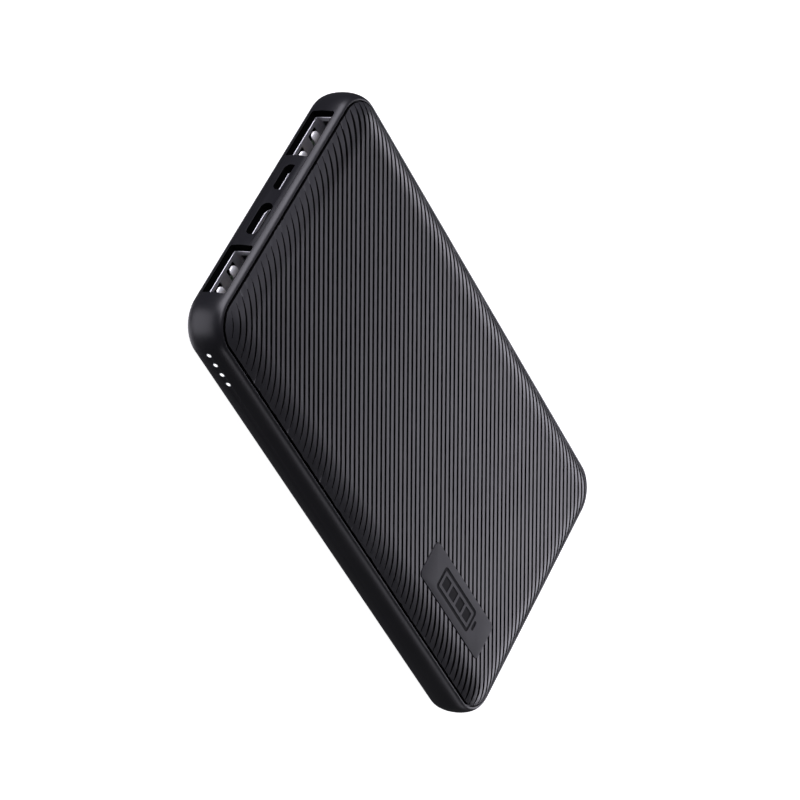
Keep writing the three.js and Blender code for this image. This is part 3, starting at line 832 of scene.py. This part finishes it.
# %% Button
FLANGE_X = -33.55 * MM
FLANGE_HALF_Y, FLANGE_HALF_Z = 4.7 * MM, 1.9 * MM
power_button = rounded_block(
    "power_button_fine",
    (button_low.x, BUTTON_Y - BUTTON_HALF_Y, MID_Z - BUTTON_HALF_Z),
    (FLANGE_X + 0.2 * MM, BUTTON_Y + BUTTON_HALF_Y, MID_Z + BUTTON_HALF_Z),
    0, BUTTON_HALF_Z - 0.01 * MM, 14,
)
round_edges(power_button, lambda edge: all_at(edge, 0, button_low.x), 0.25 * MM, 4)
BIG_FACE = 4 * MM * MM
DISH_STEPS = ((0.2, 0), (0.15, 0.05), (0.15, 0.04), (0.2, 0.02))
pick(power_button, "faces", lambda face: face.normal.x < -0.99 and face.calc_area() > BIG_FACE)
for inwards, deeper in DISH_STEPS:
    bpy.ops.mesh.extrude_region_move(TRANSFORM_OT_translate={"value": (deeper * MM, 0, 0)})
    bpy.ops.transform.resize(
        value=(1, 1 - inwards * MM / BUTTON_HALF_Y, 1 - inwards * MM / BUTTON_HALF_Z),
        center_override=(button_low.x, BUTTON_Y, MID_Z), constraint_axis=(False, True, True),
    )
done()
flange = rounded_block(
    "flange", (FLANGE_X, BUTTON_Y - FLANGE_HALF_Y, MID_Z - FLANGE_HALF_Z),
    (button_high.x, BUTTON_Y + FLANGE_HALF_Y, MID_Z + FLANGE_HALF_Z), 0, 0.6 * MM, 5,
)
boolean(power_button, flange, "UNION")
soft_shade(power_button, 40)
place(power_button, "button", "satin_plastic", "power_button")

# %% [markdown]
# ## Finishes
# Two effects are shared by most finishes, so each is a node group that is built
# once: a fine moulded grain, which gives a height, and the uneven gloss that
# handling leaves, which gives a roughness.

# %% Shared effects
def new_group(name, inputs, outputs):
    group = bpy.data.node_groups.new(name, "ShaderNodeTree")
    for label, kind, value in inputs:
        socket = group.interface.new_socket(name=label, in_out="INPUT", socket_type=kind)
        socket.default_value = value
    for label, kind in outputs:
        group.interface.new_socket(name=label, in_out="OUTPUT", socket_type=kind)
    return group, group.nodes.new("NodeGroupInput"), group.nodes.new("NodeGroupOutput")


def node(tree, kind, **values):
    made = tree.nodes.new("ShaderNode" + kind)
    for key, value in values.items():
        setattr(made, key, value)
    return made


def feed(tree, value, socket):
    """Link an output to a socket, or set the socket to a plain value."""
    if hasattr(value, "links"):
        tree.links.new(value, socket)
    else:
        socket.default_value = value


def noise(tree, coordinates, scale, detail=3.0):
    made = node(tree, "TexNoise")
    made.inputs["Detail"].default_value = detail
    tree.links.new(coordinates, made.inputs["Vector"])
    feed(tree, scale, made.inputs["Scale"])
    return made.outputs["Fac"]


def remap(tree, value, low, high):
    """Spread the middle of a noise over the range from low to high."""
    made = node(tree, "MapRange")
    made.inputs["From Min"].default_value = 0.3
    made.inputs["From Max"].default_value = 0.7
    tree.links.new(value, made.inputs["Value"])
    feed(tree, low, made.inputs["To Min"])
    feed(tree, high, made.inputs["To Max"])
    return made.outputs["Result"]


def grain_group():
    """Moulded grain: a fine noise as a height."""
    group, given, result = new_group(
        "moulded_grain", [("Scale", "NodeSocketFloat", 9000.0)], [("Height", "NodeSocketFloat")]
    )
    place_node = node(group, "TexCoord")
    height = noise(group, place_node.outputs["Object"], given.outputs["Scale"], 2.0)
    group.links.new(height, result.inputs["Height"])
    return group


def gloss_group():
    """Uneven gloss: large soft patches and fine smudges between two roughnesses."""
    group, given, result = new_group(
        "uneven_gloss",
        [("Low", "NodeSocketFloat", 0.3), ("High", "NodeSocketFloat", 0.45),
         ("Scale", "NodeSocketFloat", 60.0)],
        [("Roughness", "NodeSocketFloat"), ("Mask", "NodeSocketFloat")],
    )
    place_node = node(group, "TexCoord")
    mask = noise(group, place_node.outputs["Object"], given.outputs["Scale"], 4.0)
    rough = remap(group, mask, given.outputs["Low"], given.outputs["High"])
    group.links.new(rough, result.inputs["Roughness"])
    group.links.new(mask, result.inputs["Mask"])
    return group


GRAIN = grain_group()
GLOSS = gloss_group()
print("shared effects:", GRAIN.name, GLOSS.name)


# %% A finish from its colours and effects
def finish(name, dark, light, rough, metal=0.0, grain=9000.0, bump=0.02, smudge=60.0, **shader):
    """A material whose colour, gloss and fine height vary a little over the piece."""
    material = bpy.data.materials.new(name)
    material.use_nodes = True
    tree = material.node_tree
    surface = tree.nodes["Principled BSDF"]
    surface.inputs["Metallic"].default_value = metal
    for socket, value in shader.items():
        surface.inputs[socket.replace("_", " ")].default_value = value

    gloss = node(tree, "Group", node_tree=GLOSS)
    gloss.inputs["Low"].default_value = rough[0]
    gloss.inputs["High"].default_value = rough[1]
    gloss.inputs["Scale"].default_value = smudge
    tree.links.new(gloss.outputs["Roughness"], surface.inputs["Roughness"])

    colour = node(tree, "Mix", data_type="RGBA")
    colour.inputs["A"].default_value = (*dark, 1)
    colour.inputs["B"].default_value = (*light, 1)
    tree.links.new(gloss.outputs["Mask"], colour.inputs["Factor"])
    tree.links.new(colour.outputs["Result"], surface.inputs["Base Color"])

    fine = node(tree, "Group", node_tree=GRAIN)
    fine.inputs["Scale"].default_value = grain
    relief = node(tree, "Bump")
    relief.inputs["Strength"].default_value = bump
    relief.inputs["Distance"].default_value = 0.02 * MM
    tree.links.new(fine.outputs["Height"], relief.inputs["Height"])
    tree.links.new(relief.outputs["Normal"], surface.inputs["Normal"])
    return material


def coat(obj, material):
    """Give a piece one finish."""
    obj.data.materials.clear()
    obj.data.materials.append(material)


def coat_with_painted_shade(obj, material, is_hollow):
    """One finish for the outside, and a near-black finish, painted shade, for the faces in its
    hollows.
    """
    coat(obj, material)
    obj.data.materials.append(painted_shade)
    centres = np.array([face.center for face in obj.data.polygons])
    upright = np.array([abs(face.normal.z) < 0.5 for face in obj.data.polygons])
    shaded = is_hollow(centres, upright)
    obj.data.polygons.foreach_set("material_index", shaded.astype(int))
    pick(obj, "faces", lambda face: face.material_index == 1)
    bpy.ops.mesh.region_to_loop()
    bpy.ops.mesh.mark_sharp()
    done()
    print(obj.name, "dull faces:", int(shaded.sum()))


satin = finish(
    "satin_black_plastic", (0.006, 0.006, 0.008), (0.010, 0.010, 0.013), (0.33, 0.42), bump=0.15
)
ridged = finish(
    "ridged_black_plastic", (0.022, 0.022, 0.025), (0.028, 0.028, 0.032), (0.30, 0.36), bump=0.08
)
badge_grey = finish(
    "badge_grey", (0.023, 0.023, 0.026), (0.027, 0.027, 0.030), (0.5, 0.6), bump=0.2,
    Specular_IOR_Level=0.22,
)
# Near-black, for the piece laid in the floor of the sunk symbol.
symbol_dark_fill = finish(
    "symbol_dark_fill", (0.003, 0.003, 0.004), (0.005, 0.005, 0.006), (0.6, 0.7),
    Specular_IOR_Level=0.08,
)
# Near-black with no specular: painted shade for the grooves, the covers' skirts, the frame's
# seats and the walls inside the socket openings.
painted_shade = finish(
    "painted_shade", (0.002, 0.002, 0.002), (0.003, 0.003, 0.003), (0.8, 0.9),
    Specular_IOR_Level=0.0,
)
steel = finish(
    "plated_steel", (0.52, 0.52, 0.55), (0.64, 0.64, 0.67), (0.28, 0.38), 0.85, smudge=700.0
)
# A brighter, paler steel for the fingers: a painted highlight.
highlit_steel = finish("highlit_steel", (0.76, 0.76, 0.76), (0.86, 0.86, 0.86), (0.28, 0.36), 0.6)

for piece, material in ((label_field, ridged), (badge, badge_grey), (symbol, symbol_dark_fill)):
    coat(piece, material)


def frame_hollows(centres, _upright):
    """The faces that get painted shade: the seats that both covers are let into, and the walls
    inside the socket openings.
    """
    distance = edge_distance(centres[:, 0], centres[:, 1])
    height = np.abs(centres[:, 2] - MID_Z)
    between = (height > LEDGE - MID_Z - 0.1 * MM) & (height < SEAM_Z - MID_Z - 0.02 * MM)
    seat = (distance > -0.01 * MM) & (distance < 1.2 * MM) & between
    walls = np.zeros(len(centres), bool)
    behind_rim = (centres[:, 1] > -HALF_Y + 0.3 * MM) & (centres[:, 1] < RIM_Y + 2 * MM)
    for node_name in SOCKET_CORNERS:
        low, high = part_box(node_name)
        beside = (centres[:, 0] > low.x - 0.12 * MM) & (centres[:, 0] < high.x + 0.12 * MM)
        level = (centres[:, 2] > low.z - 0.12 * MM) & (centres[:, 2] < high.z + 0.12 * MM)
        walls |= behind_rim & beside & level
    return seat | walls


def cover_hollows(side):
    """The cover's faces that get painted shade: its skirt and its grooves; side is 1 for the
    front cover and -1 for the back.
    """
    def is_hollow(centres, upright):
        x, y = side * centres[:, 0], centres[:, 1]
        distance = edge_distance(x, y)
        skirt = upright & (distance < SEAM_GAP + 0.05 * MM)
        width = groove_width(x, y)
        beside = np.abs(across_ridges(x, y)[1])
        in_groove = (width > 0.1) & (beside < GROOVE_HALF * np.maximum(width, MIN_WIDTH))
        on_skin = np.abs(centres[:, 2] - MID_Z) > SEAM_Z - MID_Z - GROOVE_DEPTH
        return skirt | (on_skin & in_groove)
    return is_hollow


# The faces in the hollows get the near-black finish, as painted shade.
coat_with_painted_shade(mid_frame, satin, frame_hollows)
coat_with_painted_shade(front_cover, ridged, cover_hollows(1))
coat_with_painted_shade(back_cover, ridged, cover_hollows(-1))

# %% [markdown]
# ## Finishes of the inner parts
# The rest of the object is bought-in parts: plated metal, gold, moulded and
# soldered things, foil pouches, foam, tape and wire. Most need only their own
# colours and gloss. Where a part has a pattern, such as the board's tracks, the
# capacitors' tinned ends or the foil's creases, it is added to the finish.

# %% Plain finishes
gold = finish(
    "gold_plate", (0.72, 0.50, 0.20), (0.85, 0.62, 0.28), (0.20, 0.30), 1.0, smudge=900.0
)
nickel = finish(
    "nickel_strip", (0.52, 0.50, 0.45), (0.66, 0.64, 0.58), (0.26, 0.40), 1.0, smudge=400.0
)
socket_black = finish(
    "socket_plastic", (0.008, 0.008, 0.009), (0.013, 0.013, 0.014), (0.45, 0.6), bump=0.15
)
epoxy = finish("chip_epoxy", (0.016, 0.016, 0.018), (0.026, 0.026, 0.028), (0.5, 0.62), bump=0.4)
ferrite = finish(
    "pressed_iron", (0.045, 0.045, 0.05), (0.085, 0.085, 0.09), (0.5, 0.7),
    bump=0.7, smudge=1500.0,
)
lamp_body = finish("lamp_package", (0.80, 0.78, 0.62), (0.92, 0.90, 0.76), (0.25, 0.4))
foam_grey = finish(
    "closed_cell_foam", (0.018, 0.018, 0.020), (0.045, 0.045, 0.048), (0.85, 0.97),
    grain=2600.0, bump=1.0, smudge=1800.0,
)
tape_white = finish(
    "double_sided_tape", (0.66, 0.65, 0.58), (0.80, 0.79, 0.73), (0.45, 0.7), bump=0.3
)
white_moulding = finish(
    "white_moulding", (0.66, 0.65, 0.60), (0.76, 0.75, 0.70), (0.35, 0.5), bump=0.15
)
fish_paper = finish(
    "fish_paper", (0.26, 0.34, 0.26), (0.38, 0.47, 0.38), (0.7, 0.85), grain=1500.0, bump=0.8
)
red_rubber = finish(
    "red_silicone", (0.36, 0.014, 0.014), (0.48, 0.025, 0.022), (0.4, 0.55), bump=0.2
)
black_rubber = finish(
    "black_silicone", (0.010, 0.010, 0.010), (0.018, 0.018, 0.018), (0.4, 0.55), bump=0.2
)


# %% Patterned finishes
def object_axis(tree, axis, centre=0.0):
    """One Object coordinate, measured from a centre."""
    place_node = node(tree, "TexCoord")
    parts = node(tree, "SeparateXYZ")
    tree.links.new(place_node.outputs["Object"], parts.inputs["Vector"])
    return arithmetic(tree, "SUBTRACT", parts.outputs["XYZ"[axis]], centre)


def arithmetic(tree, operation, *values):
    made = node(tree, "Math", operation=operation)
    for socket, value in zip(made.inputs, values):
        feed(tree, value, socket)
    return made.outputs["Value"]


def overlay(material, mask, colour, metal=None):
    """Lay a second colour over a finish where the mask is 1, with its own metalness if given."""
    tree = material.node_tree
    surface = tree.nodes["Principled BSDF"]
    under = surface.inputs["Base Color"].links[0].from_socket
    mix = node(tree, "Mix", data_type="RGBA")
    tree.links.new(mask, mix.inputs["Factor"])
    tree.links.new(under, mix.inputs["A"])
    mix.inputs["B"].default_value = (*colour, 1)
    tree.links.new(mix.outputs["Result"], surface.inputs["Base Color"])
    if metal is not None:
        tree.links.new(arithmetic(tree, "MULTIPLY", mask, metal), surface.inputs["Metallic"])
    return material


def tinned_ceramic(name):
    """A ceramic body whose two ends, along its longer side, are tinned."""
    low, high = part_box(name)
    axis = 0 if high.x - low.x > high.y - low.y else 1
    material = finish(
        name + "_ceramic", (0.36, 0.25, 0.14), (0.46, 0.34, 0.20), (0.35, 0.5), bump=0.3
    )
    tree = material.node_tree
    middle = (low[axis] + high[axis]) / 2
    distance = arithmetic(tree, "ABSOLUTE", object_axis(tree, axis, middle))
    bare = (high[axis] - low[axis]) * 0.28
    ends = arithmetic(tree, "GREATER_THAN", distance, bare)
    return overlay(material, ends, (0.60, 0.60, 0.58), 1.0)


def board_finish():
    """Green solder mask over bundles of tracks that run in two directions."""
    material = finish(
        "solder_mask", (0.012, 0.085, 0.032), (0.018, 0.125, 0.048), (0.26, 0.38), bump=0.2
    )
    tree = material.node_tree
    region = noise(tree, node(tree, "TexCoord").outputs["Object"], 130.0, 0.0)
    bundles = []
    for axis, test, limit in ((0, "GREATER_THAN", 0.5), (1, "LESS_THAN", 0.44)):
        phase = arithmetic(tree, "MULTIPLY", object_axis(tree, axis), 1400.0)
        line = arithmetic(tree, "LESS_THAN", arithmetic(tree, "PINGPONG", phase, 0.5), 0.17)
        chosen = arithmetic(tree, test, region, limit)
        bundles.append(arithmetic(tree, "MULTIPLY", line, chosen))
    return overlay(material, arithmetic(tree, "MAXIMUM", *bundles), (0.035, 0.20, 0.075))


def foil_finish():
    """Aluminium laminate: satin metal with soft creases from the vacuum sealing."""
    material = finish(
        "pouch_foil", (0.50, 0.51, 0.53), (0.62, 0.63, 0.65), (0.28, 0.42), 0.9, smudge=120.0
    )
    tree = material.node_tree
    creases = noise(tree, node(tree, "TexCoord").outputs["Object"], 260.0, 5.0)
    relief = node(tree, "Bump")
    relief.inputs["Strength"].default_value = 0.35
    relief.inputs["Distance"].default_value = 0.3 * MM
    tree.links.new(creases, relief.inputs["Height"])
    surface = tree.nodes["Principled BSDF"]
    fine = surface.inputs["Normal"].links[0].from_node
    tree.links.new(relief.outputs["Normal"], fine.inputs["Normal"])
    return material


def glowing_pegs():
    """Clear plastic that glows at the ends of its pegs, in the side wall."""
    material = finish(
        "light_guide_clear", (0.80, 0.84, 0.88), (0.86, 0.90, 0.94), (0.08, 0.16),
        Transmission_Weight=0.6, Emission_Strength=1.4,
    )
    tree = material.node_tree
    pitch = LIGHT_Y[1] - LIGHT_Y[0]
    nearest = arithmetic(tree, "PINGPONG", object_axis(tree, 1, LIGHT_Y[0]), pitch / 2)
    up = object_axis(tree, 2, MID_Z)
    squares = [arithmetic(tree, "MULTIPLY", value, value) for value in (nearest, up)]
    from_centre = arithmetic(tree, "SQRT", arithmetic(tree, "ADD", *squares))
    spot = node(tree, "MapRange")
    spot.inputs["From Min"].default_value = PEG_RADIUS * 0.9
    spot.inputs["From Max"].default_value = PEG_RADIUS * 0.5
    tree.links.new(from_centre, spot.inputs["Value"])
    outside = arithmetic(tree, "GREATER_THAN", object_axis(tree, 0), HALF_X - 0.6 * MM)
    lit = arithmetic(tree, "MULTIPLY", outside, spot.outputs["Result"])
    glow = node(tree, "Mix", data_type="RGBA")
    glow.inputs["A"].default_value = (0, 0, 0, 1)
    glow.inputs["B"].default_value = (1, 1, 1, 1)
    tree.links.new(lit, glow.inputs["Factor"])
    tree.links.new(glow.outputs["Result"], tree.nodes["Principled BSDF"].inputs["Emission Color"])
    return material


# %% Coat the new pieces and every CAD node that still shows
for film in socket_films:
    coat(film, socket_black)
for piece in socket_shells:
    coat(piece, steel)
    # The marked finger faces get the brighter steel, as a painted highlight.
    if "painted_highlight" in piece.data.attributes:
        painted_highlight = np.zeros(len(piece.data.polygons), dtype=bool)
        piece.data.attributes["painted_highlight"].data.foreach_get("value", painted_highlight)
        piece.data.materials.append(highlit_steel)
        piece.data.polygons.foreach_set("material_index", painted_highlight.astype(int))
for piece in (usb_c_pads, micro_pads):
    coat(piece, gold)
coat(power_button, satin)

FINISH_BY_WORD = (
    ("contact", gold), ("insulator", socket_black), ("tongue", socket_black),
    ("screw", steel), ("circuit_board", board_finish()), ("inductor", ferrite),
    ("controller", epoxy), ("converter", epoxy), ("chip", epoxy), ("housing", epoxy),
    ("plunger", white_moulding), ("light_guide", glowing_pegs()), ("led", lamp_body),
    ("tape", tape_white), ("foam", foam_grey), ("insulation_sheet", fish_paper),
    ("positive_lead", red_rubber), ("negative_lead", black_rubber), ("_tab", nickel),
    ("cell_", foil_finish()),
)
carried = 0
for name, obj in nodes.items():
    if name.startswith(("capacitor", "thermistor")):
        coat(obj, tinned_ceramic(name))
        carried += 1
        continue
    for word, material in FINISH_BY_WORD:
        if word in name:
            coat(obj, material)
            carried += 1
            break
    else:
        print("replaced:", name)
print("CAD nodes with a finish:", carried)

# %% [markdown]
# ## Floor and light
# The power bank lies on a plain pale floor that glows, so that it reads as white.
# The floor is hidden from reflections and shadows: it tints nothing, and the two
# lights below it still reach the frame. A soft light close behind runs along the
# ridges, and a strong one at the socket end draws the bright band on the frame's
# shoulder. The side towards the camera stays dark, and the grooves carry painted
# shade, which together make them read as black lines. The other lights are weak fills.

# %% Floor
bpy.ops.object.select_all(action="DESELECT")
bpy.ops.mesh.primitive_plane_add(size=8, location=(0, 0, BOTTOM_Z - 0.02 * MM))
floor = bpy.context.active_object
floor.name = "floor"
floor_finish = bpy.data.materials.new("pale_floor")
floor_finish.use_nodes = True
floor_surface = floor_finish.node_tree.nodes["Principled BSDF"]
floor_surface.inputs["Base Color"].default_value = (0.7, 0.7, 0.7, 1)
floor_surface.inputs["Emission Color"].default_value = (1, 1, 1, 1)
floor_surface.inputs["Emission Strength"].default_value = 0.96
floor_surface.inputs["Roughness"].default_value = 0.9
floor_surface.inputs["Specular IOR Level"].default_value = 0.0
coat(floor, floor_finish)
floor.visible_glossy = False
floor.visible_diffuse = False
floor.visible_shadow = False

# %% Lights
def soft_light(name, direction, distance, size, power, colour=(1.0, 0.975, 1.09)):
    """A rectangular soft light that faces the middle of the power bank."""
    direction = Vector(direction).normalized()
    data = bpy.data.lights.new(name, "AREA")
    data.shape = "RECTANGLE"
    data.size, data.size_y = size
    data.energy = power
    data.color = colour
    light = bpy.data.objects.new(name, data)
    light.location = direction * distance
    light.rotation_euler = direction.to_track_quat("Z", "Y").to_euler()
    light.visible_camera = False
    bpy.context.scene.collection.objects.link(light)
    return light


soft_light("back_light", (-0.535, 0.765, 0.39), 0.37, (0.50, 0.18), 0.95)
soft_light("end_light", (-0.35, -0.92, 0.38), 1.0, (0.8, 0.75), 10)
soft_light("front_fill", (0.1, -0.73, 0.68), 1.0, (0.4, 0.3), 1.0)
soft_light("low_front", (0.50, -0.66, -0.56), 0.6, (0.55, 0.55), 1.6)
soft_light("floor_glow", (0.0, 0.1, -0.99), 0.5, (0.4, 0.3), 0.5)
soft_light("side_fill", (0.70, 0.70, 0.22), 1.0, (0.9, 0.38), 1.3)
soft_light("top_fill", (-0.5, 0.0, 0.86), 1.0, (0.6, 0.6), 0.8)

world = bpy.data.worlds.new("studio")
bpy.context.scene.world = world
world.use_nodes = True
tree = world.node_tree
background = tree.nodes["Background"]
seen = node(tree, "LightPath")
tone = node(tree, "Mix", data_type="RGBA")
tone.inputs["A"].default_value = (0.06, 0.06, 0.063, 1)
tone.inputs["B"].default_value = (1, 1, 1, 1)
tree.links.new(seen.outputs["Is Camera Ray"], tone.inputs["Factor"])
tree.links.new(tone.outputs["Result"], background.inputs["Color"])
bpy.context.scene.view_settings.view_transform = "Standard"
